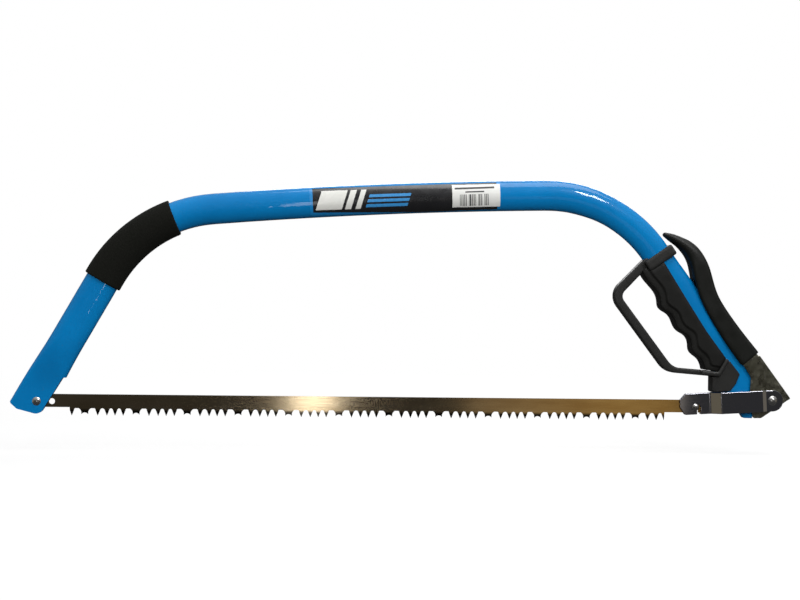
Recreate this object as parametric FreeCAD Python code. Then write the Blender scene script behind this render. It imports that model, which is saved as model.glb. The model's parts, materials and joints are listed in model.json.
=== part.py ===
import FreeCAD, Part
import math
import os

# A 30 inch bow saw: a bent oval steel tube frame, a toothed blade held at the nose by a pin,
# and an over-centre lever that pulls the blade tight through a two-plate yoke.
#
# Everything is drawn in millimetres in the pin frame, whose origin is the axis of the nose pin:
# +X runs along the blade to the handle, +Y is the far side, +Z runs from the blade to the top tube.
# save() moves each piece to the part's own frame, with its origin at the middle of the underside.

Vector = FreeCAD.Vector
ROW_ORIGIN = Vector(421.66, 0.0, -16.0)

# Blade
BLADE_SPAN = 762.0            # nose pin to yoke pin, the 30 inch blade length
BLADE_TOP = 8.3
BLADE_BOTTOM = -6.6
GULLET_TOP = -7.7
TOOTH_TIP = -16.0
RAKER_TIP = -14.6
BLADE_THICKNESS = 0.9
BLADE_HOLE_R = 3.4
NOTCH_LEFT = 2.6              # the yoke end's hole is open downwards, this far each side of the pin
NOTCH_RIGHT = 3.4
SPARE_HOLE_X = 16.8
FIRST_RAKER_X = 53.8
RAKER_PITCH = 57.9
RAKER_COUNT = 12
CUTTER_OFFSETS = (14.6, 25.0, 34.1, 43.3)
LAST_OFFSETS = (14.6, 25.0)
LEAD_CUTTER_OFFSET = -14.6
END_TOOTH_OFFSET = 34.1
RAKER_HALF = 3.8              # from a raker's middle to each of its points
RAKER_FOOT = 6.9
CUTTER_LEAN = 2.6             # how far a cutter's flank leans between its shoulder and its point

# Frame tube
WALL = 1.5
LEFT_LEG_ANGLE = 60.7
SPAN_START_ANGLE = 5.4
SPAN_END_ANGLE = 1.4
RIGHT_LEG_ANGLE = -56.0
BEND_R = 155.0
SPAN_CHORD = 386.8
PATH_START = (-17.62, -21.16)
LEFT_LEG_LENGTH = 189.0
RIGHT_LEG_LENGTH = 245.0
SPAN_HALF_WIDTH = 17.65
RIGHT_BEND_HALF_WIDTH = 16.9
SPAN_HALF_DEPTH = 11.0
LEG_HALF_WIDTH = 19.2
LEG_HALF_DEPTH = 8.9
NOSE_HALF_WIDTH = 21.1
NOSE_HALF_DEPTH = 3.6
TAIL_HALF_WIDTH = 19.8
TAIL_HALF_DEPTH = 6.0

# Lever mechanism
PIVOT = (833.0, 4.0)          # lever on the frame
LINK = (851.0, 8.8)           # yoke on the lever
YOKE_ANGLE = 3.3
YOKE_HALF_HEIGHT = 12.45
YOKE_PLATE = 1.8
YOKE_LENGTH = 108.0           # link rivet to the yoke's blade end
YOKE_BLADE_FACE = 1.2         # the plates' inner faces, out from the middle, beside the blade,
YOKE_WIDE_FACE = 12.6         # beside the frame,
YOKE_LINK_FACE = 10.6         # and at the link rivet
JOGGLE_LEFT = (-71.6, -62.0)  # where each bend starts and ends, along the yoke from the link rivet
JOGGLE_RIGHT = (-12.5, -7.5)
CHEEK_INNER = 8.2
CHEEK_OUTER = 9.7
PIVOT_R = 3.0
PIVOT_BUSH_R = 5.0
LINK_R = 2.8
BLADE_PIN_R = 2.5
NOSE_PIN_R = 3.35
NOSE_SEAT_R = 6.0             # the flat spot on the tube under the nose pin's head and clip
RUNNING_GAP = 0.05
TAIL_SWEEP_R = 14.9           # the tube's end is rounded so that the link rivet can swing past

# Hand grip, guard and foam
COLLAR_HALF_DEPTH = 13.4
GUARD_HALF_DEPTH = 6.5
GRIP_HALF_DEPTH = 12.0
STRAP_HALF_DEPTH = 12.6
HEEL_HALF_DEPTH = 9.2
FOAM_WALL = 3.1
LABEL_GAP = 0.04
LABEL_THICKNESS = 0.2
FAR = 60.0


def point(x, z, y=0.0):
    return Vector(x, y, z)


def save(name, *solids):
    shape = solids[0] if len(solids) == 1 else Part.makeCompound(list(solids))
    shape = shape.copy()
    shape.translate(ROW_ORIGIN * -1.0)
    shape.exportStep("parts/" + name + ".step")


# ---------------------------------------------------------------- general shapes

def rounded_wire(corners, place=point):
    """A closed wire through corners (a, b) or (a, b, radius), where place(a, b) is a point in space."""
    count = len(corners)
    edges = []
    entries = []
    for i in range(count):
        here = Vector(corners[i][0], corners[i][1], 0)
        before = Vector(corners[i - 1][0], corners[i - 1][1], 0)
        after = Vector(corners[(i + 1) % count][0], corners[(i + 1) % count][1], 0)
        radius = corners[i][2] if len(corners[i]) > 2 else 0.0
        to_before = (before - here).normalize()
        to_after = (after - here).normalize()
        if radius <= 0:
            entries.append((here, None, here))
            continue
        half_turn = to_before.getAngle(to_after) / 2
        reach = radius / math.tan(half_turn)
        middle = (to_before + to_after).normalize()
        centre = here + middle * (radius / math.sin(half_turn))
        entries.append((here + to_before * reach, centre - middle * radius, here + to_after * reach))
    for i in range(count):
        first, top, last = entries[i]
        if top is not None:
            arc = Part.Arc(place(first.x, first.y), place(top.x, top.y), place(last.x, last.y))
            edges.append(arc.toShape())
        start = entries[(i + 1) % count][0]
        if (start - last).Length > 1e-6:
            edges.append(Part.makeLine(place(last.x, last.y), place(start.x, start.y)))
    return Part.Wire(edges)


def slab(corners, y_low, y_high):
    """A side-view outline with the given corners, as thick as from y_low to y_high."""
    face = Part.Face(rounded_wire(corners, lambda a, b: point(a, b, y_low)))
    return face.extrude(Vector(0, y_high - y_low, 0))


def slab_of_edges(edges, y_low, y_high):
    face = Part.Face(Part.Wire(Part.__sortEdges__(edges)))
    face.translate(Vector(0, y_low, 0))
    return face.extrude(Vector(0, y_high - y_low, 0))


def curve(points):
    """A smooth edge through side-view points."""
    spline = Part.BSplineCurve()
    spline.interpolate([point(x, z) for x, z in points])
    return spline.toShape()


def line(a, b):
    return Part.makeLine(point(*a), point(*b))


def rod(x, z, radius, y_low, y_high):
    return Part.makeCylinder(radius, y_high - y_low, point(x, z, y_low), Vector(0, 1, 0))


def ring(x, z, inner, outer, y_low, y_high):
    return rod(x, z, outer, y_low, y_high).cut(rod(x, z, inner, y_low, y_high))


def dome(x, z, radius, height, y_seat, side):
    """A domed rivet head on the plane y_seat, standing out towards side, -1 or 1."""
    ball_r = (radius * radius + height * height) / (2 * height)
    ball = Part.makeSphere(ball_r, point(x, z, y_seat + side * (height - ball_r)))
    low, high = sorted((y_seat, y_seat + side * (height + 1)))
    return ball.common(rod(x, z, radius, low, high))


def both_sides(shape):
    return [shape, shape.mirror(Vector(0, 0, 0), Vector(0, 1, 0))]


def blend(value_a, value_b, share):
    share = min(1.0, max(0.0, share))
    ease = share * share * (3 - 2 * share)
    return value_a + (value_b - value_a) * ease


# ---------------------------------------------------------------- the tube's path

def make_path():
    """Stretches of the tube's centreline: (start x, start z, heading, length, curvature)."""
    span_turn = math.radians(SPAN_START_ANGLE - SPAN_END_ANGLE)
    span_r = SPAN_CHORD / (2 * math.sin(span_turn / 2))
    turns = [
        (0.0, LEFT_LEG_LENGTH),
        (-1 / BEND_R, BEND_R * math.radians(LEFT_LEG_ANGLE - SPAN_START_ANGLE)),
        (-1 / span_r, span_r * span_turn),
        (-1 / BEND_R, BEND_R * math.radians(SPAN_END_ANGLE - RIGHT_LEG_ANGLE)),
        (0.0, RIGHT_LEG_LENGTH),
    ]
    x, z = PATH_START
    heading = math.radians(LEFT_LEG_ANGLE)
    stretches = []
    for curvature, length in turns:
        stretches.append((x, z, heading, length, curvature))
        x, z, heading = advance(x, z, heading, length, curvature)
    return stretches


def advance(x, z, heading, length, curvature):
    turned = heading + curvature * length
    if curvature == 0:
        return x + length * math.cos(heading), z + length * math.sin(heading), heading
    x += (math.sin(turned) - math.sin(heading)) / curvature
    z -= (math.cos(turned) - math.cos(heading)) / curvature
    return x, z, turned


PATH = make_path()
PATH_LENGTH = sum(stretch[3] for stretch in PATH)
LEFT_BEND_S = PATH[0][3]
SPAN_S = LEFT_BEND_S + PATH[1][3]
RIGHT_BEND_S = SPAN_S + PATH[2][3]
RIGHT_LEG_S = RIGHT_BEND_S + PATH[3][3]


def path_at(s):
    """Centreline point and heading at length s from the nose end."""
    for x, z, heading, length, curvature in PATH:
        if s <= length:
            return advance(x, z, heading, s, curvature)
        s -= length
    return advance(x, z, heading, length + s, curvature)


def tube_size(s):
    """Half width, half depth and flatness (0 an ellipse, 1 a pressed-flat strip) at length s."""
    nose_open = (s - 40.0) / 62.0
    width = blend(NOSE_HALF_WIDTH, LEG_HALF_WIDTH, nose_open)
    depth = blend(NOSE_HALF_DEPTH, LEG_HALF_DEPTH, nose_open)
    flat = blend(1.0, 0.15, nose_open)
    rise = (s - LEFT_BEND_S + 20) / (SPAN_S - LEFT_BEND_S)
    width = blend(width, SPAN_HALF_WIDTH, rise)
    depth = blend(depth, SPAN_HALF_DEPTH, rise)
    flat = blend(flat, 0.0, rise)
    width = blend(width, RIGHT_BEND_HALF_WIDTH, (s - RIGHT_BEND_S - 40.0) / 40.0)
    width = blend(width, LEG_HALF_WIDTH, (s - RIGHT_LEG_S) / 60.0)
    fall = (s - RIGHT_BEND_S) / (RIGHT_LEG_S - RIGHT_BEND_S)
    depth = blend(depth, LEG_HALF_DEPTH, fall)
    flat = blend(flat, 0.15, fall)
    press = (s - RIGHT_LEG_S - 90.0) / 70.0
    width = blend(width, TAIL_HALF_WIDTH, press)
    depth = blend(depth, TAIL_HALF_DEPTH, press)
    flat = blend(flat, 0.9, press)
    return width, depth, flat


def section(x, z, heading, half_width, half_depth, flat, count=32):
    """A closed smooth section across the heading: an ellipse, a flat strip, or between the two."""
    normal = Vector(-math.sin(heading), 0, math.cos(heading))
    straight = half_width - half_depth
    places = []
    for i in range(count):
        angle = 2 * math.pi * i / count
        quarter = abs(math.atan2(abs(math.sin(angle)), abs(math.cos(angle)))) / (math.pi / 2)
        if quarter <= 0.5:
            strip_w = straight + half_depth * math.cos(quarter * math.pi)
            strip_d = half_depth * math.sin(quarter * math.pi)
        else:
            strip_w = straight * (1 - quarter) * 2
            strip_d = half_depth
        round_w = half_width * math.cos(angle)
        round_d = half_depth * math.sin(angle)
        w = round_w + (math.copysign(strip_w, round_w) - round_w) * flat
        d = round_d + (math.copysign(strip_d, round_d) - round_d) * flat
        places.append(point(x, z) + normal * w + Vector(0, d, 0))
    spline = Part.BSplineCurve()
    knots = [float(i) for i in range(count + 1)]
    spline.interpolate(Points=places, PeriodicFlag=True, Parameters=knots)
    return Part.Wire(spline.toShape())


def tube_run(s_low, s_high, grow, step=16.0):
    """The solid inside the tube's outer surface moved out by grow, between two lengths."""
    count = max(3, int((s_high - s_low) / step) + 1)
    wires = []
    for i in range(count):
        s = s_low + (s_high - s_low) * i / (count - 1)
        x, z, heading = path_at(s)
        width, depth, flat = tube_size(s)
        wires.append(section(x, z, heading, width + grow, depth + grow, flat))
    return Part.makeLoft(wires, True, False)


# ---------------------------------------------------------------- frame

NOSE_TRIM = [
    (62.0, 30.0), (36.5, 30.0), (34.0, 27.0, 2.2), (29.0, 27.0, 2.6), (3.6, -15.5, 9.0), (-22.1, -8.7, 6.0),
    (-31.0, -0.6, 4.5), (-23.2, 13.6), (-90.0, 13.6), (-90.0, -70.0), (62.0, -70.0),
]


def tail_trim():
    """What is cut off the tube's lower right end, so that the link rivet swings clear of it."""
    px, pz = PIVOT
    high = math.radians(32.0)
    low = math.radians(-107.0)
    middle = (high + low) / 2
    places = []
    for angle in (high, middle, low):
        places.append(point(px + TAIL_SWEEP_R * math.cos(angle), pz + TAIL_SWEEP_R * math.sin(angle)))
    arc = Part.Arc(places[0], places[1], places[2]).toShape()
    reach = point(px + FAR * math.cos(high), pz + FAR * math.sin(high))
    corner = point(px + FAR, pz - FAR)
    below = point(places[2].x, pz - FAR)
    edges = [arc]
    edges.append(Part.makeLine(places[2], below))
    edges.append(Part.makeLine(below, corner))
    edges.append(Part.makeLine(corner, reach))
    edges.append(Part.makeLine(reach, places[0]))
    sector = slab_of_edges(edges, -FAR, FAR)
    heel = slab([(780, -3.0), (813.2, -3.0, 3.0), (818.6, -12.3, 3.0), (850, -12.3), (850, -80), (780, -80)],
                -FAR, FAR)
    return [sector, heel]


def frame_tube():
    outer = tube_run(0.0, PATH_LENGTH, 0.0)
    inner = tube_run(-2.0, PATH_LENGTH + 2.0, -WALL)
    tube = outer.cut(inner)
    tube = tube.cut(slab(NOSE_TRIM, -FAR, FAR))
    for trim in tail_trim():
        tube = tube.cut(trim)
    tube = tube.cut(rod(0, 0, NOSE_PIN_R, -FAR, FAR))
    for low, high in ((-FAR, -NOSE_HALF_DEPTH), (NOSE_HALF_DEPTH, FAR)):
        tube = tube.cut(rod(0, 0, NOSE_SEAT_R, low, high))
    tube = tube.cut(rod(PIVOT[0], PIVOT[1], PIVOT_BUSH_R, -FAR, FAR))
    return largest(tube)


def largest(shape):
    return max(shape.Solids, key=lambda solid: solid.Volume)


def nose_pin():
    shank = rod(0, 0, NOSE_PIN_R, -NOSE_HALF_DEPTH, NOSE_HALF_DEPTH + 2.6)
    head = dome(0, 0, 4.9, 2.0, -NOSE_HALF_DEPTH, -1)
    groove = ring(0, 0, NOSE_PIN_R - 0.7, NOSE_PIN_R + 1, NOSE_HALF_DEPTH + 0.6, NOSE_HALF_DEPTH + 1.4)
    return shank.fuse(head).cut(groove).removeSplitter().Solids[0]


def retaining_clip(x, z, groove_r, y_low, thickness):
    """An open spring clip that sits in a pin's groove."""
    body = ring(x, z, groove_r + 0.02, groove_r + 2.6, y_low, y_low + thickness)
    mouth = Part.makeBox(groove_r * 1.5, thickness, 8, point(x - groove_r * 0.75, z - 8, y_low))
    clip = body.cut(mouth)
    for side in (-1, 1):
        clip = clip.cut(rod(x + side * (groove_r + 0.9), z + 1.4, 0.55, y_low - 1, y_low + thickness + 1))
    return largest(clip)


# ---------------------------------------------------------------- blade

def gullet(left, right, top):
    """The arched edge between two tooth flanks, as a list of edges from left to right."""
    width = right[0] - left[0]
    lean = min(2.6, width * 0.27)
    shoulder = top - 1.9
    a = (left[0] + lean, shoulder)
    b = (right[0] - lean, shoulder)
    edges = [line(left, a)]
    if width > 11.5:
        c = (left[0] + lean + 2.0, top)
        d = (right[0] - lean - 2.0, top)
        edges.append(Part.Arc(point(*a), point(a[0] + 0.6, top - 0.55), point(*c)).toShape())
        edges.append(line(c, d))
        edges.append(Part.Arc(point(*d), point(b[0] - 0.6, top - 0.55), point(*b)).toShape())
    else:
        edges.append(Part.Arc(point(*a), point((a[0] + b[0]) / 2, top), point(*b)).toShape())
    edges.append(line(b, right))
    return edges


def raker_side(tip, foot, top_end):
    """The hollow flank of a raker from its point up to the gullet, then along the gullet's top."""
    side = 1 if foot[0] > tip[0] else -1
    neck = (tip[0] + side * 0.1, tip[1] + 3.0)
    mid = (neck[0] + side * 1.2, (neck[1] + foot[1]) / 2 + 0.4)
    edges = [line(tip, neck)]
    edges.append(Part.Arc(point(*neck), point(*mid), point(*foot)).toShape())
    edges.append(line(foot, top_end))
    return edges


def cutter_side(top_end, shoulder, tip):
    side = 1 if tip[0] > top_end[0] else -1
    mid = (top_end[0] + side * 1.25, GULLET_TOP - 0.45)
    edges = [Part.Arc(point(*top_end), point(*mid), point(*shoulder)).toShape()]
    edges.append(line(shoulder, tip))
    return edges




def to_raker(cutter_x, raker_x):
    """Edges from a cutter's point to the near point of the raker on its right."""
    tip = (cutter_x, TOOTH_TIP)
    shoulder = (cutter_x + CUTTER_LEAN, GULLET_TOP - 1.9)
    top_end = (shoulder[0] + 1.7, GULLET_TOP)
    edges = cutter_side(top_end, shoulder, tip)
    edges += raker_side((raker_x - RAKER_HALF, RAKER_TIP), (raker_x - RAKER_FOOT, GULLET_TOP), top_end)
    return edges


def from_raker(raker_x, cutter_x):
    """Edges from a raker's far point to the cutter on its right."""
    tip = (cutter_x, TOOTH_TIP)
    shoulder = (cutter_x - CUTTER_LEAN, GULLET_TOP - 1.9)
    top_end = (shoulder[0] - 1.7, GULLET_TOP)
    edges = cutter_side(top_end, shoulder, tip)
    edges += raker_side((raker_x + RAKER_HALF, RAKER_TIP), (raker_x + RAKER_FOOT, GULLET_TOP), top_end)
    return edges


def raker_notch(raker_x):
    left = point(raker_x - RAKER_HALF, RAKER_TIP)
    right = point(raker_x + RAKER_HALF, RAKER_TIP)
    return Part.Arc(left, point(raker_x, RAKER_TIP + 2.1), right).toShape()


def blade():
    lead_x = FIRST_RAKER_X + LEAD_CUTTER_OFFSET
    toothed_start = (lead_x - 2.5, BLADE_BOTTOM)
    edges = [line(toothed_start, (lead_x - 2.2, BLADE_BOTTOM - 3.4))]
    edges.append(line((lead_x - 2.2, BLADE_BOTTOM - 3.4), (lead_x, TOOTH_TIP)))
    before_x = lead_x
    for n in range(RAKER_COUNT):
        raker_x = FIRST_RAKER_X + RAKER_PITCH * n
        offsets = CUTTER_OFFSETS if n < RAKER_COUNT - 1 else LAST_OFFSETS
        cutters = [raker_x + offset for offset in offsets]
        edges += to_raker(before_x, raker_x)
        edges.append(raker_notch(raker_x))
        edges += from_raker(raker_x, cutters[0])
        for a, b in zip(cutters, cutters[1:]):
            edges += gullet((a, TOOTH_TIP), (b, TOOTH_TIP), GULLET_TOP)
        before_x = cutters[-1]
    end_x = raker_x + END_TOOTH_OFFSET
    edges += gullet((before_x, TOOTH_TIP), (end_x, TOOTH_TIP), GULLET_TOP)
    edges.append(line((end_x, TOOTH_TIP), (end_x + 0.7, BLADE_BOTTOM)))
    right = BLADE_SPAN + 9.0
    ends = [
        (end_x + 0.7, BLADE_BOTTOM), (right - 3, BLADE_BOTTOM), (right, BLADE_BOTTOM + 3),
        (right, BLADE_TOP - 3), (right - 3, BLADE_TOP), (-6.5, BLADE_TOP), (-9.5, BLADE_TOP - 3),
        (-9.5, BLADE_BOTTOM + 3), (-6.5, BLADE_BOTTOM), toothed_start,
    ]
    for a, b in zip(ends, ends[1:]):
        edges.append(line(a, b))
    half = BLADE_THICKNESS / 2
    body = slab_of_edges(edges, -half, half)
    body = body.cut(rod(0, 0, BLADE_HOLE_R, -half, half))
    body = body.cut(rod(SPARE_HOLE_X, 0, BLADE_HOLE_R, -half, half))
    seat = rod(BLADE_SPAN, 0, BLADE_PIN_R + 0.1, -half, half)
    left, right = BLADE_SPAN - NOTCH_LEFT, BLADE_SPAN + NOTCH_RIGHT
    mouth = slab([(left, 0), (right, 0), (right, -FAR), (left, -FAR)], -half, half)
    return largest(body.cut(seat).cut(mouth))


# ---------------------------------------------------------------- lever and yoke

STEEL_CORNER = (873.4, 11.3)
STEEL_SHOULDER = (835.6, 61.8)
CHEEK_OUTLINE = [
    (828.0, -12.0, 3.0), (838.5, -11.8, 5.0), (847.0, -6.0, 3.0), (860.0, 2.4, 4.0), (868.6, 8.6, 3.0),
    (STEEL_CORNER[0], STEEL_CORNER[1], 1.2), (STEEL_SHOULDER[0], STEEL_SHOULDER[1], 0.8),
    (834.2, 60.9), (786.0, 124.0, 12.0), (773.5, 158.0, 3.0), (760.0, 158.0, 3.0), (760.0, 142.0, 14.0),
    (780.5, 101.5, 30.0), (813.5, 53.0, 2.0), (818.8, 46.4, 10.0), (825.4, 36.0, 8.0), (824.6, 21.0, 10.0),
]


# Everything on the inner side of the lever's web
WEB_INSIDE = [
    (872.2, 10.4), (835.3, 59.7), (833.85, 58.8), (784.8, 122.9, 11.0), (771.9, 158.0), (771.9, 170.0),
    (700.0, 170.0), (700.0, -60.0), (872.2, -60.0),
]


def lever_channel():
    channel = slab(CHEEK_OUTLINE, -CHEEK_OUTER, CHEEK_OUTER)
    channel = channel.cut(slab(WEB_INSIDE, -CHEEK_INNER, CHEEK_INNER))
    channel = channel.cut(rod(PIVOT[0], PIVOT[1], PIVOT_R, -FAR, FAR))
    channel = channel.cut(rod(LINK[0], LINK[1], LINK_R + RUNNING_GAP, -FAR, FAR))
    return largest(channel)


# Centre, half width and half depth of the lever's plastic sleeve, from its hooked tip downwards
SLEEVE_STATIONS = [
    (723.2, 201.8, 2.9, 3.6), (729.7, 198.9, 4.8, 6.2), (737.0, 195.4, 5.9, 7.6), (745.4, 190.1, 7.7, 9.2),
    (752.4, 184.2, 9.1, 10.3), (757.5, 177.5, 9.6, 10.9), (761.8, 169.3, 10.2, 11.3),
    (765.6, 157.7, 10.9, 11.5), (769.3, 144.2, 10.9, 11.5), (776.1, 126.1, 10.8, 11.5),
    (786.5, 108.2, 11.3, 11.5), (804.8, 82.1, 12.4, 11.5), (824.4, 57.4, 13.1, 11.5),
]
SLEEVE_SECTIONS = 20
# The space inside the sleeve for the steel, and its open side that straddles the frame tube
SLEEVE_CAVITY = [
    (835.0, 58.0), (834.26, 60.93), (786.04, 124.04, 12.0), (773.5, 158.0, 3.0), (760.0, 158.0, 3.0),
    (760.0, 142.0, 14.0), (780.5, 101.5, 30.0), (813.5, 53.0), (815.0, 40.0), (835.0, 40.0),
]
SLEEVE_MOUTH = [(820.0, 30.0), (833.0, 59.6), (784.5, 123.2), (772.0, 150.0), (700.0, 150.0), (700.0, 30.0)]
SLEEVE_TIP_ROUNDING = (0.18, 0.52, 0.76, 0.9)
SLEEVE_TUBE_GAP = 0.5


def squared_section(x, z, heading, half_width, half_depth, power, count=32):
    """A closed section across the heading: an ellipse at power 2, nearer to a box as power grows."""
    normal = Vector(-math.sin(heading), 0, math.cos(heading))
    places = []
    for i in range(count):
        angle = 2 * math.pi * i / count
        across = math.cos(angle)
        deep = math.sin(angle)
        reach = (abs(across) ** power + abs(deep) ** power) ** (-1 / power)
        out = normal * (half_width * reach * across)
        places.append(point(x, z, half_depth * reach * deep) + out)
    spline = Part.BSplineCurve()
    spline.interpolate(Points=places, PeriodicFlag=True, Parameters=[float(i) for i in range(count + 1)])
    return Part.Wire(spline.toShape())


def lever_sleeve():
    """The moulded sleeve over the lever's steel, which ends in a solid hooked horn."""
    centre = Part.BSplineCurve()
    centre.interpolate([point(x, z) for x, z, width, depth in SLEEVE_STATIONS])
    girth = Part.BSplineCurve()
    girth.interpolate(Points=[Vector(width, depth, x) for x, z, width, depth in SLEEVE_STATIONS],
                      Parameters=centre.getKnots())
    wires = []
    last = centre.LastParameter
    tip_count = len(SLEEVE_TIP_ROUNDING)
    for i in range(SLEEVE_SECTIONS):
        place = last * i / (SLEEVE_SECTIONS - 1)
        middle = centre.value(place)
        along = centre.tangent(place)[0]
        size = girth.value(place)
        heading = math.atan2(along.z, along.x)
        power = blend(2.0, 7.0, (place / last - 0.15) / 0.35)
        if i == 0:
            for j in range(tip_count):
                round_share = SLEEVE_TIP_ROUNDING[j]
                back = size.x * (1 - math.sqrt(1 - round_share ** 2))
                shift = size.x - back
                wires.append(squared_section(middle.x - along.x * shift, middle.z - along.z * shift, heading,
                                             size.x * round_share, size.y * round_share, 2.0))
        wires.append(squared_section(middle.x, middle.z, heading, size.x, size.y, power))
    sleeve = Part.makeLoft(wires, True, False)
    sleeve = sleeve.cut(slab(SLEEVE_CAVITY, -CHEEK_OUTER - 0.02, CHEEK_OUTER + 0.02))
    sleeve = sleeve.cut(slab(SLEEVE_MOUTH, -CHEEK_INNER, CHEEK_INNER))
    return largest(sleeve.cut(tube_run(RIGHT_BEND_S + 90.0, PATH_LENGTH, SLEEVE_TUBE_GAP)))


def pivot_bush():
    return ring(PIVOT[0], PIVOT[1], PIVOT_R + RUNNING_GAP, PIVOT_BUSH_R, -TAIL_HALF_DEPTH, TAIL_HALF_DEPTH)


def pivot_washers():
    washer = ring(PIVOT[0], PIVOT[1], PIVOT_R + RUNNING_GAP, 7.0, TAIL_HALF_DEPTH + 0.05, CHEEK_INNER - 0.1)
    return both_sides(washer)


def pivot_rivet():
    x, z = PIVOT
    rivet = rod(x, z, PIVOT_R, -CHEEK_OUTER, CHEEK_OUTER)
    for side in (-1, 1):
        rivet = rivet.fuse(dome(x, z, 5.5, 1.6, side * CHEEK_OUTER, side))
    return rivet.removeSplitter().Solids[0]


def along_yoke(u, w, y=0.0):
    """A point in the yoke's own lie: u along it from the link rivet, w up across it."""
    angle = math.radians(YOKE_ANGLE)
    return point(LINK[0] + u * math.cos(angle) - w * math.sin(angle),
                 LINK[1] + u * math.sin(angle) + w * math.cos(angle), y)


def yoke_plate():
    """The near plate of the yoke: a strip joggled out over the frame and back in at the lever."""
    a, b = JOGGLE_LEFT
    c, d = JOGGLE_RIGHT
    t = YOKE_PLATE
    shift = t * math.tan(math.radians(25.0))
    strip = [
        (-YOKE_LENGTH - 2, -YOKE_BLADE_FACE), (a + shift, -YOKE_BLADE_FACE, 1.2),
        (b + shift, -YOKE_WIDE_FACE, 2.6), (c - 0.4, -YOKE_WIDE_FACE, 1.6), (d - 0.4, -YOKE_LINK_FACE, 1.2),
        (20.0, -YOKE_LINK_FACE), (20.0, -YOKE_LINK_FACE - t), (d, -YOKE_LINK_FACE - t, 1.2),
        (c, -YOKE_WIDE_FACE - t, 1.6), (b, -YOKE_WIDE_FACE - t, 1.2), (a, -YOKE_BLADE_FACE - t, 2.6),
        (-YOKE_LENGTH - 2, -YOKE_BLADE_FACE - t),
    ]
    h = YOKE_HALF_HEIGHT
    wire = rounded_wire(strip, lambda u, y: along_yoke(u, -h - 1, y))
    up = along_yoke(0, 1) - along_yoke(0, 0)
    bent = Part.Face(wire).extrude(up * (2 * h + 2))
    outline = [
        (-YOKE_LENGTH, -3.6, 2.5), (-YOKE_LENGTH + 5.8, -h, 2.5), (0.0, -h), (h, -h, h - 0.01),
        (h, h, h - 0.01), (0.0, h), (-YOKE_LENGTH + 7.6, h, 2.5), (-YOKE_LENGTH, 4.6, 2.5),
    ]
    face = Part.Face(rounded_wire(outline, lambda u, w: along_yoke(u, w, -FAR)))
    plate = bent.common(face.extrude(Vector(0, 2 * FAR, 0)))
    plate = plate.cut(rod(LINK[0], LINK[1], LINK_R, -FAR, FAR))
    plate = plate.cut(rod(BLADE_SPAN, 0, BLADE_PIN_R + 0.02, -FAR, FAR))
    slot = [(BLADE_SPAN, -BLADE_PIN_R), (BLADE_SPAN, BLADE_PIN_R), (BLADE_SPAN + 6.0, BLADE_PIN_R, 2.2),
            (BLADE_SPAN + 6.0, -20.0), (BLADE_SPAN + 1.9, -20.0), (BLADE_SPAN + 1.9, -BLADE_PIN_R, 0.8)]
    plate = plate.cut(slab(slot, -FAR, FAR))
    return largest(plate)


def link_rivet():
    x, z = LINK
    seat = YOKE_LINK_FACE + YOKE_PLATE
    rivet = rod(x, z, LINK_R, -seat, seat)
    for side in (-1, 1):
        rivet = rivet.fuse(dome(x, z, 5.6, 2.2, side * seat, side))
    return rivet.removeSplitter().Solids[0]


def link_washers():
    washer = ring(LINK[0], LINK[1], LINK_R + 0.02, 7.0, CHEEK_OUTER + 0.1, YOKE_LINK_FACE - 0.05)
    return both_sides(washer)


def blade_pin():
    seat = YOKE_BLADE_FACE + YOKE_PLATE
    pin = rod(BLADE_SPAN, 0, BLADE_PIN_R, -seat, seat + 2.4)
    pin = pin.fuse(dome(BLADE_SPAN, 0, 4.0, 1.9, -seat, -1))
    groove = ring(BLADE_SPAN, 0, BLADE_PIN_R - 0.6, BLADE_PIN_R + 1, seat + 0.6, seat + 1.4)
    return pin.cut(groove).removeSplitter().Solids[0]


# ---------------------------------------------------------------- guard, grip and heel

def across_tube(s_low, s_high, grow, y_half):
    """A block around the tube between two lengths, as wide as the tube plus grow on each side."""
    corners = []
    for s, side in ((s_low, 1), (s_high, 1), (s_high, -1), (s_low, -1)):
        x, z, heading = path_at(s)
        reach = side * (tube_size(s)[0] + grow)
        corners.append((x - math.sin(heading) * reach, z + math.cos(heading) * reach, 2.0))
    return slab(corners, -y_half, y_half)


COLLAR_S = RIGHT_LEG_S - 3.6
COLLAR_LENGTH = 12.6

GUARD_OUTLINE = [
    (704.0, 177.0), (696.5, 171.8, 2.0), (656.4, 131.1, 20.0), (724.8, 41.0, 24.0), (777.6, 36.8, 1.0),
    (777.6, 43.0, 1.0), (733.2, 46.4, 20.0), (669.7, 129.7, 9.0), (697.5, 159.0, 3.0), (706.0, 152.0),
]

STRAP_OUTLINE = [
    (766.0, 43.8), (766.0, 38.0, 1.0), (788.2, 36.4, 3.0), (799.0, 55.6, 1.5), (795.0, 57.8, 1.0),
    (785.6, 41.8, 2.0),
]


def tube_void():
    return tube_run(RIGHT_BEND_S + 90.0, PATH_LENGTH, 0.03)


def knuckle_guard():
    """The moulded guard: a collar round the tube, the bow in front of the fingers and a heel strap."""
    collar = across_tube(COLLAR_S, COLLAR_S + COLLAR_LENGTH, 1.9, COLLAR_HALF_DEPTH)
    bow = slab(GUARD_OUTLINE, -GUARD_HALF_DEPTH, GUARD_HALF_DEPTH)
    strap = slab(STRAP_OUTLINE, -STRAP_HALF_DEPTH, STRAP_HALF_DEPTH)
    guard = collar.fuse(bow).fuse(strap)
    return guard


FINGER_CURVE = [
    (694.6, 158.5), (704.7, 143.4), (713.6, 132.2), (716.0, 125.0), (717.0, 118.0), (721.6, 112.8),
    (727.6, 109.2), (732.6, 102.8), (735.6, 95.6), (740.8, 89.1), (748.0, 84.8), (752.3, 79.6), (753.8, 73.4),
    (754.8, 66.6), (759.4, 61.2), (765.2, 56.6), (768.8, 50.4), (770.2, 44.4),
]


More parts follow.
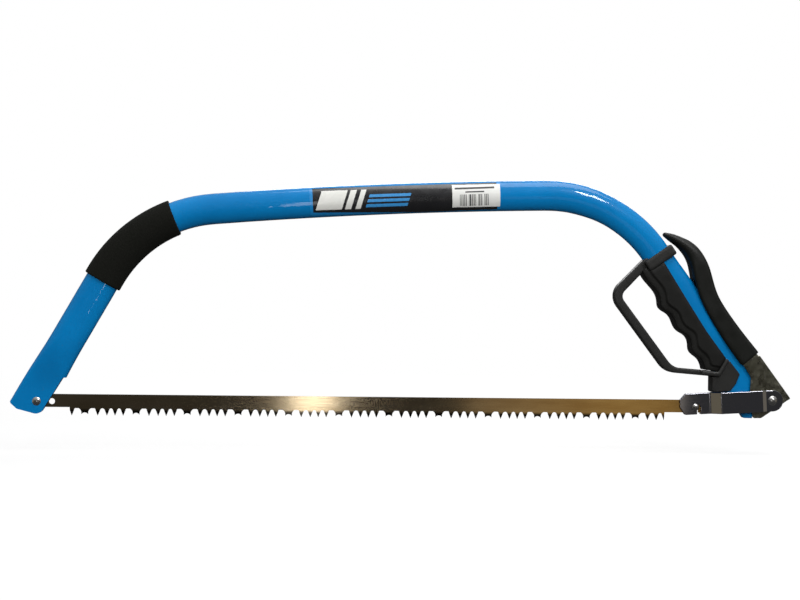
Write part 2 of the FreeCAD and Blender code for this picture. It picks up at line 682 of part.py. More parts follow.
def hand_grip():
    edges = [curve(FINGER_CURVE)]
    rest = [FINGER_CURVE[-1], (785.4, 42.3), (794.8, 58.2), (771.2, 89.4), (747.2, 126.2), (719.9, 168.9),
            (716.5, 174.0), (699.0, 163.5), FINGER_CURVE[0]]
    for a, b in zip(rest, rest[1:]):
        edges.append(line(a, b))
    return slab_of_edges(edges, -GRIP_HALF_DEPTH, GRIP_HALF_DEPTH)


HEEL_OUTLINE = [
    (779.8, 36.2), (779.8, 18.0, 1.5), (801.0, 19.4, 1.5), (808.0, 28.6, 3.0), (812.4, 39.6, 3.0),
    (799.6, 55.2, 1.0), (788.6, 36.2, 1.0),
]


def heel_block():
    return slab(HEEL_OUTLINE, -HEEL_HALF_DEPTH, HEEL_HALF_DEPTH)


# Screws that hold the mouldings to the tube from the far side: x, z, head seat y and tip y
GRIP_SCREWS = [(712.0, 180.0, COLLAR_HALF_DEPTH, 6.0), (797.0, 36.0, HEEL_HALF_DEPTH, 4.0)]
SCREW_R = 1.9


def grip_screw(x, z, y_head, y_tip):
    """A pan-head self-tapping screw along Y, with a cross recess."""
    body = rod(x, z, SCREW_R, y_tip, y_head).fuse(dome(x, z, 3.6, 1.8, y_head, 1))
    for width, height in ((0.9, 3.6), (3.6, 0.9)):
        body = body.cut(Part.makeBox(width, 3.0, height, point(x - width / 2, z - height / 2, y_head + 0.5)))
    return body.removeSplitter().Solids[0]


def screw_holes():
    holes = [rod(x, z, SCREW_R, y_tip - 1, FAR) for x, z, y_head, y_tip in GRIP_SCREWS]
    return holes[0].fuse(holes[1])


# ---------------------------------------------------------------- foam and labels

FOAM_S = (LEFT_BEND_S - 7.1, LEFT_BEND_S + 104.9)
LABEL_X = (306.5, 527.0)
STICKER_X = (470.5, 526.1)


def foam_sleeve():
    outer = tube_run(FOAM_S[0], FOAM_S[1], FOAM_WALL, 9.0)
    inner = tube_run(FOAM_S[0] - 3.0, FOAM_S[1] + 3.0, 0.02, 9.0)
    return largest(outer.cut(inner))


def span_wrap(x_range, low_gap, high_gap, down, up):
    """A thin strip laid on the near side of the top span, from down to up across the tube."""
    s_low = SPAN_S + (x_range[0] - PATH[2][0]) / math.cos(math.radians(3.4))
    s_high = SPAN_S + (x_range[1] - PATH[2][0]) / math.cos(math.radians(3.4))
    outer = tube_run(s_low, s_high, high_gap, 14.0)
    inner = tube_run(s_low - 1.0, s_high + 1.0, low_gap, 14.0)
    corners = []
    for s, reach in ((s_low - 1, up), (s_high + 1, up), (s_high + 1, down), (s_low - 1, down)):
        x, z, heading = path_at(s)
        corners.append((x - math.sin(heading) * reach, z + math.cos(heading) * reach))
    return largest(outer.cut(inner).common(slab(corners, -FAR, 0.0)))


# ---------------------------------------------------------------- assembly

def build():
    os.makedirs("parts", exist_ok=True)
    tube_space = tube_void()
    holes = screw_holes()
    tube = frame_tube().cut(holes)
    guard = knuckle_guard().cut(tube_space).cut(holes)
    grip = hand_grip().cut(tube_space).cut(guard)
    heel = heel_block().cut(tube_space).cut(guard).cut(holes)

    save("frame_tube", largest(tube))
    save("nose_pin", nose_pin())
    save("nose_pin_clip", retaining_clip(0, 0, NOSE_PIN_R - 0.7, NOSE_HALF_DEPTH + 0.62, 0.76))
    save("blade", blade())
    save("foam_sleeve", foam_sleeve())
    save("span_label", span_wrap(LABEL_X, LABEL_GAP, LABEL_GAP + LABEL_THICKNESS, -15.4, 15.6))
    sticker_low = 2 * LABEL_GAP + LABEL_THICKNESS
    save("price_sticker", span_wrap(STICKER_X, sticker_low, sticker_low + LABEL_THICKNESS, -12.6, 13.4))
    save("knuckle_guard", largest(guard))
    save("hand_grip", largest(grip))
    save("heel_block", largest(heel))
    save("grip_screws", *[grip_screw(*place) for place in GRIP_SCREWS])
    save("pivot_bush", pivot_bush())
    save("pivot_washers", *pivot_washers())
    save("pivot_rivet", pivot_rivet())
    save("lever_channel", lever_channel())
    save("lever_sleeve", lever_sleeve())
    near_plate, far_plate = both_sides(yoke_plate())
    save("yoke_near_plate", near_plate)
    save("yoke_far_plate", far_plate)
    save("link_rivet", link_rivet())
    save("link_washers", *link_washers())
    save("blade_pin", blade_pin())
    seat = YOKE_BLADE_FACE + YOKE_PLATE
    save("blade_pin_clip", retaining_clip(BLADE_SPAN, 0, BLADE_PIN_R - 0.6, seat + 0.62, 0.76))


build()
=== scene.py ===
import json
import math

import bpy
from mathutils import Matrix, Vector


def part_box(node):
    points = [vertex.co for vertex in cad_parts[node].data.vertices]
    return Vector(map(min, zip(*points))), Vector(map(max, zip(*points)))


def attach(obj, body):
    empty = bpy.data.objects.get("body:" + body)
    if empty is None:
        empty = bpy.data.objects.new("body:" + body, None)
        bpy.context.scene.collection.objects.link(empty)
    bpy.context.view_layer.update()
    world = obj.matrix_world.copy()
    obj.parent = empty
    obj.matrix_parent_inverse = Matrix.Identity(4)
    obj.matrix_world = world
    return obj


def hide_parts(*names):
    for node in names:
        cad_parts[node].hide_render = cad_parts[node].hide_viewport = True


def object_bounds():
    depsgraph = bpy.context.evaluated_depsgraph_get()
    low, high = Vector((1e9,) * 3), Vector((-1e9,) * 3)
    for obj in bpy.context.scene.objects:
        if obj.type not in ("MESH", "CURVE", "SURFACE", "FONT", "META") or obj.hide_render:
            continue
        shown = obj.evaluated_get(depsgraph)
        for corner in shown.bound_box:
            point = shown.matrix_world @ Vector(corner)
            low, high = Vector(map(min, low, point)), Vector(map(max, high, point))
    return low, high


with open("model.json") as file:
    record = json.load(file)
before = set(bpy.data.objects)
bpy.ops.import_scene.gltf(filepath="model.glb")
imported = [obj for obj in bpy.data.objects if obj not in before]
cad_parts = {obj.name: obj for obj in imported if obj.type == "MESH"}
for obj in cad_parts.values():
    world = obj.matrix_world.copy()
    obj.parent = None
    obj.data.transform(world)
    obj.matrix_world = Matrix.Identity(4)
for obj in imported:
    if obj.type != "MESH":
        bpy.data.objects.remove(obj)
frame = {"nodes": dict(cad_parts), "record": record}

# The bow saw's looks: materials, rounded edges, the foam sleeve, the label's print, lights and camera.
# Lengths are metres in the frame's own axes: +X along the blade to the handle, +Y the far side, +Z up.

MM = 0.001
CAD_LOW, CAD_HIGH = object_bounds()
NODES = frame["nodes"]
SLOTS = {part["node"]: part["material_slot"] for part in frame["record"]["subparts"]}
SCENE = bpy.context.scene
WHITE = (1.0, 1.0, 1.0)


# ---------------------------------------------------------------- node helpers

class Shader:
    """A principled material whose texture nodes are added by short calls."""

    def __init__(self, name, colour, roughness, metallic=0.0, **sockets):
        self.material = bpy.data.materials.new(name)
        self.material.use_nodes = True
        self.tree = self.material.node_tree
        self.surface = self.tree.nodes["Principled BSDF"]
        self.surface.inputs["Base Color"].default_value = (*colour, 1.0)
        self.surface.inputs["Roughness"].default_value = roughness
        self.surface.inputs["Metallic"].default_value = metallic
        for socket, value in sockets.items():
            self.surface.inputs[socket.replace("_", " ")].default_value = value
        self.place = self.tree.nodes.new("ShaderNodeTexCoord").outputs["Object"]

    def node(self, kind, inputs=None, **settings):
        made = self.tree.nodes.new(kind)
        for key, value in settings.items():
            setattr(made, key, value)
        for key, value in (inputs or {}).items():
            if isinstance(value, bpy.types.NodeSocket):
                self.tree.links.new(value, made.inputs[key])
            else:
                made.inputs[key].default_value = value
        return made

    def stretched(self, scale, rotation=(0.0, 0.0, 0.0)):
        """The object's coordinates, turned and scaled, so that grain can run one way."""
        inputs = {"Vector": self.place, "Scale": scale, "Rotation": rotation}
        return self.node("ShaderNodeMapping", inputs).outputs[0]

    def noise(self, scale, detail=2.0, roughness=0.5, place=None):
        inputs = {"Vector": place or self.place, "Scale": scale, "Detail": detail, "Roughness": roughness}
        return self.node("ShaderNodeTexNoise", inputs).outputs["Fac"]

    def cells(self, scale):
        """Distance from the nearest of many scattered points."""
        return self.node("ShaderNodeTexVoronoi", {"Vector": self.place, "Scale": scale}).outputs["Distance"]

    def span(self, value, low, high, to_low=0.0, to_high=1.0):
        """Maps value from low..high to to_low..to_high, held at the ends."""
        inputs = {"Value": value, "From Min": low, "From Max": high, "To Min": to_low, "To Max": to_high}
        return self.node("ShaderNodeMapRange", inputs).outputs["Result"]

    def maths(self, operation, a, b=0.0, c=0.0):
        return self.node("ShaderNodeMath", {0: a, 1: b, 2: c}, operation=operation).outputs[0]

    def mixed(self, share, a, b):
        """Colour a where share is 0 and colour b where it is 1."""
        made = self.node("ShaderNodeMix", {"Factor": share}, data_type="RGBA")
        for socket, colour in ((6, a), (7, b)):
            if isinstance(colour, bpy.types.NodeSocket):
                self.tree.links.new(colour, made.inputs[socket])
            else:
                made.inputs[socket].default_value = (*colour, 1.0)
        return made.outputs[2]

    def axis(self, letter):
        """One of the object's coordinates: X, Y or Z."""
        return self.node("ShaderNodeSeparateXYZ", {"Vector": self.place}).outputs[letter]

    def set(self, socket, value):
        """Feeds a socket of the surface from a node."""
        self.tree.links.new(value, self.surface.inputs[socket])

    def bump(self, height, distance, strength=1.0, normal=None):
        """Raises the surface where height is 1, on top of an earlier bump if normal gives one."""
        inputs = {"Height": height, "Distance": distance, "Strength": strength}
        if normal:
            inputs["Normal"] = normal
        out = self.node("ShaderNodeBump", inputs).outputs["Normal"]
        self.set("Normal", out)
        return out


# ---------------------------------------------------------------- materials

PAINT_DARK = (0.001, 0.172, 0.455)
PAINT_LIGHT = (0.001, 0.205, 0.525)
PAINT_SCUFFED = (0.03, 0.26, 0.56)
PAINT_WORN = (0.05, 0.13, 0.20)
NOSE_MOST_WORN_X = CAD_LOW.x + 30 * MM
NOSE_UNWORN_X = CAD_LOW.x + 100 * MM


def blue_paint():
    """Gloss powder coat with a faint orange-peel skin, handling marks and rubbed spots near the nose."""
    m = Shader("blue_paint", PAINT_DARK, 0.3, Specular_IOR_Level=0.08, Coat_Weight=0.6, Coat_Roughness=0.04)
    colour = m.mixed(m.span(m.noise(16.0, 3.0), 0.35, 0.7), PAINT_DARK, PAINT_LIGHT)
    scuffs = m.span(m.noise(90.0, 6.0, 0.7, m.stretched((1.0, 1.0, 4.0), (0.0, 0.6, 0.0))), 0.66, 0.8)
    colour = m.mixed(m.maths("MULTIPLY", scuffs, 0.3), colour, PAINT_SCUFFED)
    near_nose = m.span(m.axis("X"), NOSE_MOST_WORN_X, NOSE_UNWORN_X, 1.0, 0.0)
    worn = m.span(m.noise(130.0, 7.0, 0.75), 0.62, 0.70)
    colour = m.mixed(m.maths("MULTIPLY", worn, m.maths("MULTIPLY", near_nose, 0.55)), colour, PAINT_WORN)
    m.set("Base Color", colour)
    m.set("Roughness", m.span(m.noise(60.0, 4.0), 0.3, 0.75, 0.2, 0.36))
    peel = m.bump(m.noise(420.0, 2.0), 0.00003)
    m.bump(scuffs, 0.00004, 0.6, peel)
    return m.material


def black_foam():
    """Closed-cell foam: matt, with a skin of small pores and larger soft dents."""
    m = Shader("black_foam", (0.008, 0.008, 0.007), 0.92, Specular_IOR_Level=0.12,
               Sheen_Weight=0.03, Sheen_Roughness=0.5)
    pores = m.span(m.cells(900.0), 0.0, 0.5)
    grain = m.noise(1500.0, 3.0, 0.7)
    m.set("Base Color", m.mixed(grain, (0.0035, 0.0037, 0.0030), (0.0120, 0.0125, 0.0100)))
    dents = m.bump(m.noise(55.0, 2.0), 0.0012, 0.5)
    m.bump(m.maths("MULTIPLY", pores, grain), 0.0003, 0.8, dents)
    return m.material


def moulded_plastic(name, colour, roughness, grain_scale, grain_depth):
    """Moulded plastic with a fine spark-eroded grain and rubbed patches."""
    m = Shader(name, colour, roughness, Specular_IOR_Level=0.32)
    dark = tuple(0.8 * c for c in colour)
    light = tuple(1.5 * c for c in colour)
    m.set("Base Color", m.mixed(m.noise(35.0, 4.0), dark, light))
    m.set("Roughness", m.span(m.noise(70.0, 3.0), 0.3, 0.7, roughness - 0.08, roughness + 0.1))
    m.bump(m.noise(grain_scale, 3.0, 0.6), grain_depth, 0.7)
    return m.material


CHROME = (0.36, 0.36, 0.40)
CHROME_PIT = (0.16, 0.15, 0.12)


def chrome_plate():
    """Bright plate with a slight ripple from the stamping, wipe marks and rare pits."""
    m = Shader("chrome_plate", CHROME, 0.12, 1.0)
    wipes = m.noise(160.0, 4.0, 0.6, m.stretched((1.0, 1.0, 5.0)))
    m.set("Roughness", m.span(wipes, 0.3, 0.8, 0.04, 0.10))
    pits = m.span(m.cells(420.0), 0.0, 0.09)
    m.set("Base Color", m.mixed(pits, CHROME_PIT, CHROME))
    ripple = m.bump(m.noise(60.0, 1.0), 0.00008, 0.2)
    m.bump(pits, 0.00005, 0.5, ripple)
    return m.material


STEEL_DARK = (0.16, 0.155, 0.115)
STEEL_LIGHT = (0.27, 0.265, 0.205)
STEEL_RUBBED = (0.82, 0.81, 0.74)
LEAST_RUBBED_Z = CAD_LOW.z + 60 * MM
MOST_RUBBED_Z = CAD_LOW.z + 30 * MM


def dark_steel():
    """Dark-plated pressed steel, with fine rubbing marks where the hand and the yoke touch it."""
    m = Shader("dark_steel", (0.28, 0.27, 0.23), 0.34, 1.0)
    mottle = m.noise(60.0, 3.0, 0.5)
    colour = m.mixed(m.span(mottle, 0.35, 0.65), STEEL_DARK, STEEL_LIGHT)
    below = m.span(m.axis("Z"), LEAST_RUBBED_Z, MOST_RUBBED_Z)
    rubbed = m.noise(190.0, 6.0, 0.75, m.stretched((1.0, 1.0, 0.35), (0.0, -0.7, 0.0)))
    marks = m.span(rubbed, 0.56, 0.68)
    share = m.maths("MULTIPLY", marks, m.span(below, 0.0, 1.0, 0.35, 0.95))
    m.set("Base Color", m.mixed(share, colour, STEEL_RUBBED))
    m.set("Roughness", m.span(m.noise(240.0, 3.0), 0.3, 0.7, 0.24, 0.44))
    dents = m.bump(m.noise(70.0, 1.0), 0.00015, 0.25)
    m.bump(marks, 0.00003, 0.5, dents)
    return m.material


def bright_steel():
    """Zinc-plated pins, rivets, clips and screws."""
    m = Shader("bright_steel", (0.55, 0.55, 0.54), 0.25, 1.0)
    m.set("Base Color", m.mixed(m.noise(300.0, 3.0), (0.42, 0.41, 0.39), (0.66, 0.66, 0.66)))
    m.set("Roughness", m.span(m.noise(500.0, 2.0), 0.3, 0.7, 0.15, 0.35))
    m.bump(m.noise(1500.0, 2.0), 0.00004, 0.5)
    return m.material


BRONZE_DARK = (0.36, 0.275, 0.165)
BRONZE_LIGHT = (0.47, 0.38, 0.25)
# The gold colours are a painted reflection of a warm light, laid over the real bronze lacquer towards the
# handle.
GOLD_REFLECTION_DARK = (0.56, 0.33, 0.10)
GOLD_REFLECTION_LIGHT = (0.74, 0.48, 0.17)
# The tooth points' dark colour is partly their real hardening colour and partly painted shade of filed bevels
# that the flat blade lacks.
HARDENED_AND_SHADED_TIP = (0.035, 0.03, 0.024)
REFLECTION_STARTS_X = 20 * MM
REFLECTION_FULL_X = 240 * MM
TOOTH_HEIGHT = 8.3 * MM
TIP_DARK_FADE = 3 * MM


def blade_steel():
    """Rolled spring steel under a bronze lacquer, with a painted gold reflection that grows towards the
    handle, and tooth points darkened partly by their real hardening colour and partly by painted shade.
    """
    m = Shader("blade_steel", (0.40, 0.31, 0.19), 0.1, 1.0)
    rolled = m.noise(9.0, 5.0, 0.6, m.stretched((3.0, 1.0, 260.0)))
    stain = m.noise(26.0, 4.0, 0.6, m.stretched((0.5, 1.0, 3.0)))
    stained = m.span(stain, 0.35, 0.7)
    plain = m.mixed(stained, BRONZE_DARK, BRONZE_LIGHT)
    gold_reflection = m.mixed(stained, GOLD_REFLECTION_DARK, GOLD_REFLECTION_LIGHT)
    # Painted reflection: the colour turns from bronze to gold along X towards the handle.
    colour = m.mixed(m.span(m.axis("X"), REFLECTION_STARTS_X, REFLECTION_FULL_X), plain, gold_reflection)
    tooth_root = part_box("blade")[0].z + TOOTH_HEIGHT
    # Darker below the tooth roots: the real hardening colour and painted shade of the teeth's filed bevels.
    tip_hardening_and_shade = m.span(m.axis("Z"), tooth_root - TIP_DARK_FADE, tooth_root, 1.0, 0.0)
    colour = m.mixed(tip_hardening_and_shade, colour, HARDENED_AND_SHADED_TIP)
    m.set("Base Color", colour)
    m.set("Roughness", m.span(rolled, 0.3, 0.7, 0.07, 0.15))
    m.bump(rolled, 0.000008, 0.4)
    return m.material


def rectangle(m, along, across, middle, half):
    """1 inside a rectangle on the label, and 0 outside it."""
    inside_u = m.maths("COMPARE", along, middle[0], half[0])
    inside_v = m.maths("COMPARE", across, middle[1], half[1])
    return m.maths("MULTIPLY", inside_u, inside_v)


def joined(m, masks):
    """1 where any of the masks is 1."""
    whole = masks[0]
    for mask in masks[1:]:
        whole = m.maths("MAXIMUM", whole, mask)
    return whole


LABEL_LOW, LABEL_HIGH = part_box("span_label")
LABEL_LENGTH_MM = (LABEL_HIGH.x - LABEL_LOW.x) / MM
LABEL_END_BAND = 4 * MM


def label_axes(m):
    """Distances along the label from its left end, and across it from its middle, in millimetres."""
    ends = []
    for edge in (LABEL_LOW.x, LABEL_HIGH.x):
        vertices = NODES["span_label"].data.vertices
        heights = [v.co.z for v in vertices if abs(v.co.x - edge) < LABEL_END_BAND]
        ends.append((min(heights) + max(heights)) / 2)
    turn = math.atan2(ends[1] - ends[0], LABEL_HIGH.x - LABEL_LOW.x)
    from_left = m.maths("SUBTRACT", m.axis("X"), LABEL_LOW.x)
    from_middle = m.maths("SUBTRACT", m.axis("Z"), ends[0])
    along = m.maths("ADD", m.maths("MULTIPLY", from_left, math.cos(turn) / MM),
                    m.maths("MULTIPLY", from_middle, math.sin(turn) / MM))
    across = m.maths("SUBTRACT", m.maths("MULTIPLY", from_middle, math.cos(turn) / MM),
                     m.maths("MULTIPLY", from_left, math.sin(turn) / MM))
    return along, across


# The print: middles are measured along and across the label, and sizes are half lengths and half heights.
CLEAR_MARGIN_MM = 4.6
BLACK_EDGE_LEFT_MM = -12.2
BLACK_EDGE_RIGHT_MM = -17.0
SLANT = 0.35
WHITE_BANDS_MM = [(26.0, 15.0), (48.0, 3.6), (59.5, 3.0)]
WHITE_MIDDLE_MM = 1.2
WHITE_HALF_HEIGHT_MM = 11.0
BLUE_STRIPES_MM = [4.6, -1.0, -6.6]
BLUE_MIDDLE_MM = 92.0
BLUE_HALF_MM = (24.0, 1.7)
INK_DARK = (0.007, 0.007, 0.008)
INK_LIGHT = (0.016, 0.016, 0.018)
PRINT_WHITE = (0.74, 0.74, 0.70)
PRINT_BLUE = (0.04, 0.27, 0.62)
FILM_BLUE = (0.012, 0.22, 0.56)


def label_vinyl():
    """Black printed vinyl on clear film, with plain slanted white bands and plain blue stripes."""
    m = Shader("label_vinyl", (0.010, 0.010, 0.012), 0.3, Coat_Weight=0.35, Coat_Roughness=0.08)
    along, across = label_axes(m)
    half_length = LABEL_LENGTH_MM / 2
    lower_edge = m.span(along, 0.0, LABEL_LENGTH_MM * 0.8, BLACK_EDGE_LEFT_MM, BLACK_EDGE_RIGHT_MM)
    above = m.maths("GREATER_THAN", across, lower_edge)
    ends = m.maths("COMPARE", along, half_length, half_length - CLEAR_MARGIN_MM)
    printed = m.maths("MULTIPLY", above, ends)
    leaning = m.maths("SUBTRACT", along, m.maths("MULTIPLY", across, SLANT))
    white = joined(m, [rectangle(m, leaning, across, (middle, WHITE_MIDDLE_MM), (half, WHITE_HALF_HEIGHT_MM))
                       for middle, half in WHITE_BANDS_MM])
    blue = joined(m, [rectangle(m, leaning, across, (BLUE_MIDDLE_MM, height), BLUE_HALF_MM)
                      for height in BLUE_STRIPES_MM])
    ink = m.mixed(m.noise(40.0, 3.0), INK_DARK, INK_LIGHT)
    colour = m.mixed(white, ink, PRINT_WHITE)
    colour = m.mixed(blue, colour, PRINT_BLUE)
    film = m.mixed(m.noise(300.0, 2.0), PAINT_LIGHT, FILM_BLUE)
    m.set("Base Color", m.mixed(printed, film, colour))
    m.set("Roughness", m.span(m.noise(90.0, 3.0), 0.3, 0.7, 0.2, 0.34))
    m.bump(m.noise(60.0, 2.0), 0.0002, 0.3)
    return m.material


# Along the sticker from its left end, and across it from the label's middle.
STICKER_LINES_MM = [((27.0, 9.6), (23.0, 1.1)), ((27.0, 5.2), (11.0, 0.8))]
BARS_MIDDLE_MM = (26.5, -4.2)
BARS_HALF_MM = (17.0, 6.6)
BARS_PER_MM = 1.1
PAPER_DARK = (0.70, 0.70, 0.67)
PAPER_LIGHT = (0.82, 0.82, 0.80)
PRINT_GREY = (0.05, 0.05, 0.05)


def sticker_paper():
    """White coated paper, printed with plain dark lines and a block of meaningless upright bars."""
    m = Shader("sticker_paper", (0.80, 0.80, 0.78), 0.4)
    along, across = label_axes(m)
    left = (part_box("price_sticker")[0].x - LABEL_LOW.x) / MM
    paper = m.mixed(m.noise(50.0, 4.0), PAPER_DARK, PAPER_LIGHT)
    lines = joined(m, [rectangle(m, along, across, (left + u, v), half) for (u, v), half in STICKER_LINES_MM])
    bars_place = m.node("ShaderNodeCombineXYZ", {"X": along}).outputs[0]
    bars = m.maths("GREATER_THAN", m.noise(BARS_PER_MM, 0.0, 0.5, bars_place), 0.5)
    block = rectangle(m, along, across, (left + BARS_MIDDLE_MM[0], BARS_MIDDLE_MM[1]), BARS_HALF_MM)
    print_mask = joined(m, [lines, m.maths("MULTIPLY", bars, block)])
    m.set("Base Color", m.mixed(print_mask, paper, PRINT_GREY))
    m.bump(m.noise(700.0, 2.0), 0.00004, 0.4)
    return m.material


MATERIALS = {
    "blue_paint": blue_paint(),
    "black_foam": black_foam(),
    "black_plastic": moulded_plastic("black_plastic", (0.0165, 0.0165, 0.0158), 0.44, 1400.0, 0.00010),
    "lever_plastic": moulded_plastic("lever_plastic", (0.0045, 0.0050, 0.0040), 0.44, 1600.0, 0.00008),
    "grip_rubber": moulded_plastic("grip_rubber", (0.0055, 0.0056, 0.0050), 0.48, 1100.0, 0.00010),
    "chrome_plate": chrome_plate(),
    "dark_steel": dark_steel(),
    "bright_steel": bright_steel(),
    "blade_steel": blade_steel(),
    "label_vinyl": label_vinyl(),
    "sticker_paper": sticker_paper(),
}


def paint(piece, material):
    piece.data.materials.clear()
    piece.data.materials.append(material)


for node_name, slot_name in SLOTS.items():
    paint(NODES[node_name], MATERIALS[slot_name])


# ---------------------------------------------------------------- rounded edges on CAD pieces

WELD_GAP = 0.02 * MM
FLAT_ANGLE = math.radians(0.5)
SHARP_ANGLE = math.radians(30.0)
BEVEL_SEGMENTS = 3


def weld(piece):
    """Joins the edges that the CAD mesh leaves split."""
    modifier = piece.modifiers.new("weld", "WELD")
    modifier.merge_threshold = WELD_GAP


def shade_smooth(mesh):
    for polygon in mesh.polygons:
        polygon.use_smooth = True


def soften(piece, width):
    """Clears the flats of their triangles and rounds the sharp edges."""
    weld(piece)
    flats = piece.modifiers.new("flats", "DECIMATE")
    flats.decimate_type = "DISSOLVE"
    flats.angle_limit = FLAT_ANGLE
    bevel = piece.modifiers.new("round", "BEVEL")
    bevel.width = width
    bevel.segments = BEVEL_SEGMENTS
    bevel.limit_method = "ANGLE"
    bevel.angle_limit = SHARP_ANGLE
    bevel.use_clamp_overlap = False
    level = piece.modifiers.new("level", "WEIGHTED_NORMAL")
    level.mode = "FACE_AREA"
    level.weight = 100
    shade_smooth(piece.data)


EDGE_ROUNDING = {
    "lever_channel": 0.5 * MM,
    "yoke_near_plate": 0.6 * MM,
    "yoke_far_plate": 0.6 * MM,
}
for node_name, width in EDGE_ROUNDING.items():
    soften(NODES[node_name], width)


# ---------------------------------------------------------------- mouldings and foam

SWELL = 0.1 * MM


def remoulded(name, node, body, voxel, rounds, crown, shape=None):
    """A copy of a CAD piece with its edges worn round, and its faces arched by crown rounds in Y alone."""
    mesh = NODES[node].data.copy()
    mesh.name = name
    piece = bpy.data.objects.new(name, mesh)
    SCENE.collection.objects.link(piece)
    weld(piece)
    skin = piece.modifiers.new("skin", "REMESH")
    skin.mode = "VOXEL"
    skin.voxel_size = voxel
    for axes, iterations in (("xyz", rounds), ("y", crown)):
        if iterations:
            smooth = piece.modifiers.new("smooth", "SMOOTH")
            smooth.factor = 0.5
            smooth.iterations = iterations
            smooth.use_x = "x" in axes
            smooth.use_z = "z" in axes
    swell = piece.modifiers.new("swell", "DISPLACE")
    swell.mid_level = 0.0
    swell.strength = SWELL
    graph = bpy.context.evaluated_depsgraph_get()
    final = bpy.data.meshes.new_from_object(piece.evaluated_get(graph))
    piece.modifiers.clear()
    piece.data = final
    if shape:
        shape(final)
    shade_smooth(final)
    paint(piece, MATERIALS[SLOTS[node]])
    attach(piece, body)
    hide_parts(node)
    return piece


FINGER_ROLL = 7.5 * MM
ROLL_STEP = 2.2 * MM
ROLL_HEIGHT = 0.88
EDGE_BIN = 1.0 * MM
BINS_EACH_WAY = 2


def finger_roll(mesh):
    """Lowers a band beside the grip's finger edge, so that a raised pad follows the finger hollows."""
    low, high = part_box("hand_grip")
    lengthways = Vector((high.x - low.x, 0.0, low.z - high.z)).normalized()
    to_fingers = Vector((lengthways.z, 0.0, -lengthways.x))
    edge = {}
    for vertex in mesh.vertices:
        key = round(vertex.co.dot(lengthways) / EDGE_BIN)
        edge[key] = max(edge.get(key, -1.0), vertex.co.dot(to_fingers))
    for vertex in mesh.vertices:
        key = round(vertex.co.dot(lengthways) / EDGE_BIN)
        near = [edge[k] for k in range(key - BINS_EACH_WAY, key + BINS_EACH_WAY + 1) if k in edge]
        inward = sum(near) / len(near) - vertex.co.dot(to_fingers)
        share = min(max((inward - FINGER_ROLL) / ROLL_STEP, 0.0), 1.0)
        share = share * share * (3 - 2 * share)
        vertex.co.y *= ROLL_HEIGHT + (1.0 - ROLL_HEIGHT) * share


remoulded("knuckle_guard_moulding", "knuckle_guard", "frame", voxel=0.8 * MM, rounds=5, crown=24)
remoulded("hand_grip_moulding", "hand_grip", "frame", voxel=0.8 * MM, rounds=5, crown=60, shape=finger_roll)
remoulded("heel_block_moulding", "heel_block", "frame", voxel=0.6 * MM, rounds=5, crown=6)
remoulded("lever_sleeve_moulding", "lever_sleeve", "lever", voxel=0.7 * MM, rounds=8, crown=20)
foam = remoulded("foam_sleeve_soft", "foam_sleeve", "frame", voxel=0.9 * MM, rounds=8, crown=0)


# ---------------------------------------------------------------- stage, light and camera

FLOOR_R = 9.0
FLOOR_SIDES = 96
# The open lever and the yoke swing below the saw's underside, so the floor is lower still.
FLOOR_DROP = 40 * MM
FLOOR_NEAR = 0.2
FLOOR_FAR = 1.6
FLOOR_GLOW = 0.75
BACKDROP = 1.0


def floor_material():
    """White floor that turns into the backdrop's own brightness away from the saw."""
    m = Shader("floor", (0.85, 0.85, 0.85), 0.9, Specular_IOR_Level=0.1)
    flat = m.node("ShaderNodeVectorMath", {0: m.place, 1: (1.0, 1.0, 0.0)}, operation="MULTIPLY").outputs[0]
    reach = m.node("ShaderNodeVectorMath", {0: flat}, operation="LENGTH").outputs["Value"]
    share = m.span(reach, FLOOR_NEAR, FLOOR_FAR, FLOOR_GLOW, 1.0)
    glow = m.node("ShaderNodeEmission", {"Color": (*WHITE, 1.0), "Strength": BACKDROP})
    mix = m.node("ShaderNodeMixShader", {0: share, 1: m.surface.outputs[0], 2: glow.outputs[0]})
    output = m.tree.nodes["Material Output"]
    m.tree.links.new(mix.outputs[0], output.inputs["Surface"])
    return m.material


def make_floor():
    corners = []
    for i in range(FLOOR_SIDES):
        angle = 2 * math.pi * i / FLOOR_SIDES
        corners.append((FLOOR_R * math.cos(angle), FLOOR_R * math.sin(angle), CAD_LOW.z - FLOOR_DROP))
    mesh = bpy.data.meshes.new("floor")
    mesh.from_pydata(corners, [], [tuple(range(FLOOR_SIDES))])
    floor = bpy.data.objects.new("floor", mesh)
    SCENE.collection.objects.link(floor)
    paint(floor, floor_material())
    floor.visible_glossy = False
    floor.visible_diffuse = False


ROOM_DIM = 0.075
ROOM_BRIGHT = 0.9
CEILING_FROM = 0.15
CEILING_FULL = 0.95


def make_world():
    """White where the camera sees it, and a dim room with a bright ceiling for the light it gives."""
    world = bpy.data.worlds.new("studio")
    SCENE.world = world
    world.use_nodes = True
    tree = world.node_tree
    tree.nodes.clear()
    direction = tree.nodes.new("ShaderNodeTexCoord")
    split = tree.nodes.new("ShaderNodeSeparateXYZ")
    tree.links.new(direction.outputs["Generated"], split.inputs[0])
    ramp = tree.nodes.new("ShaderNodeMapRange")
    ramp.inputs["From Min"].default_value = CEILING_FROM
    ramp.inputs["From Max"].default_value = CEILING_FULL
    ramp.inputs["To Min"].default_value = ROOM_DIM
    ramp.inputs["To Max"].default_value = ROOM_BRIGHT
    tree.links.new(split.outputs["Z"], ramp.inputs["Value"])
    room = tree.nodes.new("ShaderNodeBackground")
    tree.links.new(ramp.outputs["Result"], room.inputs["Strength"])
    seen = tree.nodes.new("ShaderNodeBackground")
    seen.inputs["Color"].default_value = (*WHITE, 1.0)
    seen.inputs["Strength"].default_value = BACKDROP
    rays = tree.nodes.new("ShaderNodeLightPath")
    mix = tree.nodes.new("ShaderNodeMixShader")
    tree.links.new(rays.outputs["Is Camera Ray"], mix.inputs[0])
    tree.links.new(room.outputs[0], mix.inputs[1])
    tree.links.new(seen.outputs[0], mix.inputs[2])
    output = tree.nodes.new("ShaderNodeOutputWorld")
    tree.links.new(mix.outputs[0], output.inputs["Surface"])


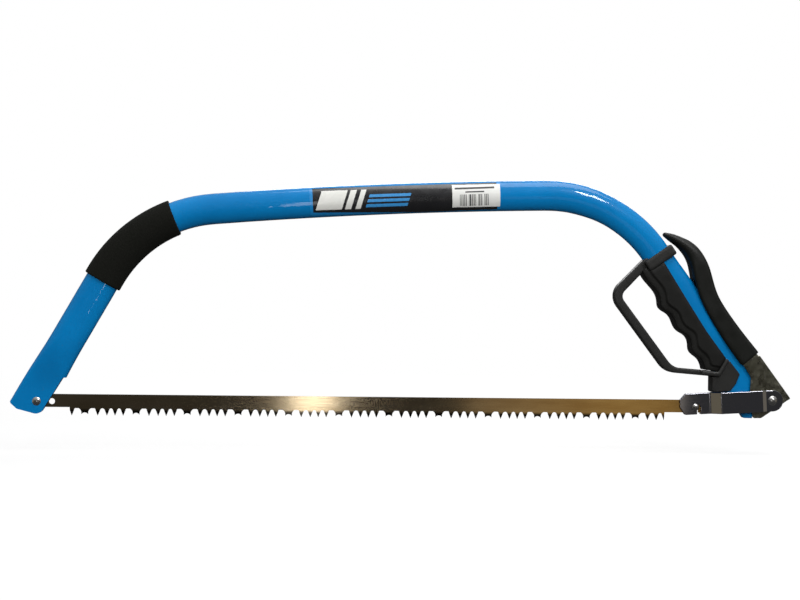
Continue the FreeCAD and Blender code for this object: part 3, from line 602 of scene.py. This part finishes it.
def area_light(name, place, aim, size, power, colour=WHITE, mirrored=True):
    """A rectangle of light that the camera doesn't see, and reflections only if it is mirrored."""
    data = bpy.data.lights.new(name, "AREA")
    data.shape = "RECTANGLE"
    data.size, data.size_y = size
    data.energy = power
    data.color = colour
    light = bpy.data.objects.new(name, data)
    light.location = place
    light.rotation_euler = (Vector(aim) - Vector(place)).to_track_quat("-Z", "Y").to_euler()
    light.visible_camera = False
    light.visible_glossy = mirrored
    SCENE.collection.objects.link(light)


def make_lights():
    """Each has its place, the point it faces, its size in metres and its power in watts."""
    area_light("overhead", (0.5, -0.5, 1.9), (0.2, 0.0, 0.1), (1.4, 1.2), 20.0)
    area_light("front_fill", (1.1, -1.9, 1.5), (0.0, 0.0, 0.12), (0.4, 0.4), 17.0)
    area_light("soft_fill", (-0.4, -2.5, 0.8), (0.0, 0.0, 0.1), (1.6, 1.0), 29.0, mirrored=False)
    area_light("front_strip", (-0.107, -2.6, 0.1), (-0.107, 0.0, 0.1), (0.12, 0.7), 1.3)
    area_light("gold_panel", (0.61, -2.0, -0.05), (0.61, 0.0, -0.05), (0.60, 0.5), 0.27, (1.0, 0.88, 0.7))
    area_light("left_card", (-1.81, -0.31, 0.02), (0.36, 0.0, 0.02), (1.0, 0.9), 0.6, (1.0, 0.83, 0.45))
    area_light("right_card", (2.39, -0.99, 0.02), (0.42, 0.0, 0.02), (0.9, 0.9), 0.6, (1.0, 0.87, 0.6))
    area_light("rear_fill", (0.4, 1.8, 1.3), (0.0, 0.0, 0.1), (1.6, 1.0), 24.0)


NOSE = sum(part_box("nose_pin"), Vector()) / 2
NOSE.y = 0.0
CAMERA_HEIGHT = 0.1208
CAMERA_PLACE = NOSE + Vector((0.3118, -1.4966, CAMERA_HEIGHT))
CAMERA_AIM = NOSE + Vector((0.4122, 0.0, CAMERA_HEIGHT))
CAMERA_ROLL = math.radians(0.8218)
CAMERA_LENS_MM = 58.24
CAMERA_SENSOR_MM = 36.0


def make_camera():
    """Level with the middle of the saw, a little to the left of it, and rolled slightly."""
    data = bpy.data.cameras.new("camera")
    data.lens = CAMERA_LENS_MM
    data.sensor_width = CAMERA_SENSOR_MM
    camera = bpy.data.objects.new("camera", data)
    SCENE.collection.objects.link(camera)
    ahead = (CAMERA_AIM - CAMERA_PLACE).normalized()
    level_right = ahead.cross(Vector((0, 0, 1))).normalized()
    level_up = level_right.cross(ahead)
    right = level_right * math.cos(CAMERA_ROLL) + level_up * math.sin(CAMERA_ROLL)
    up = level_up * math.cos(CAMERA_ROLL) - level_right * math.sin(CAMERA_ROLL)
    turn = Matrix((right, up, -ahead)).transposed().to_4x4()
    camera.matrix_world = Matrix.Translation(CAMERA_PLACE) @ turn
    SCENE.camera = camera


make_floor()
make_world()
make_lights()
make_camera()
SCENE.view_settings.view_transform = "Standard"
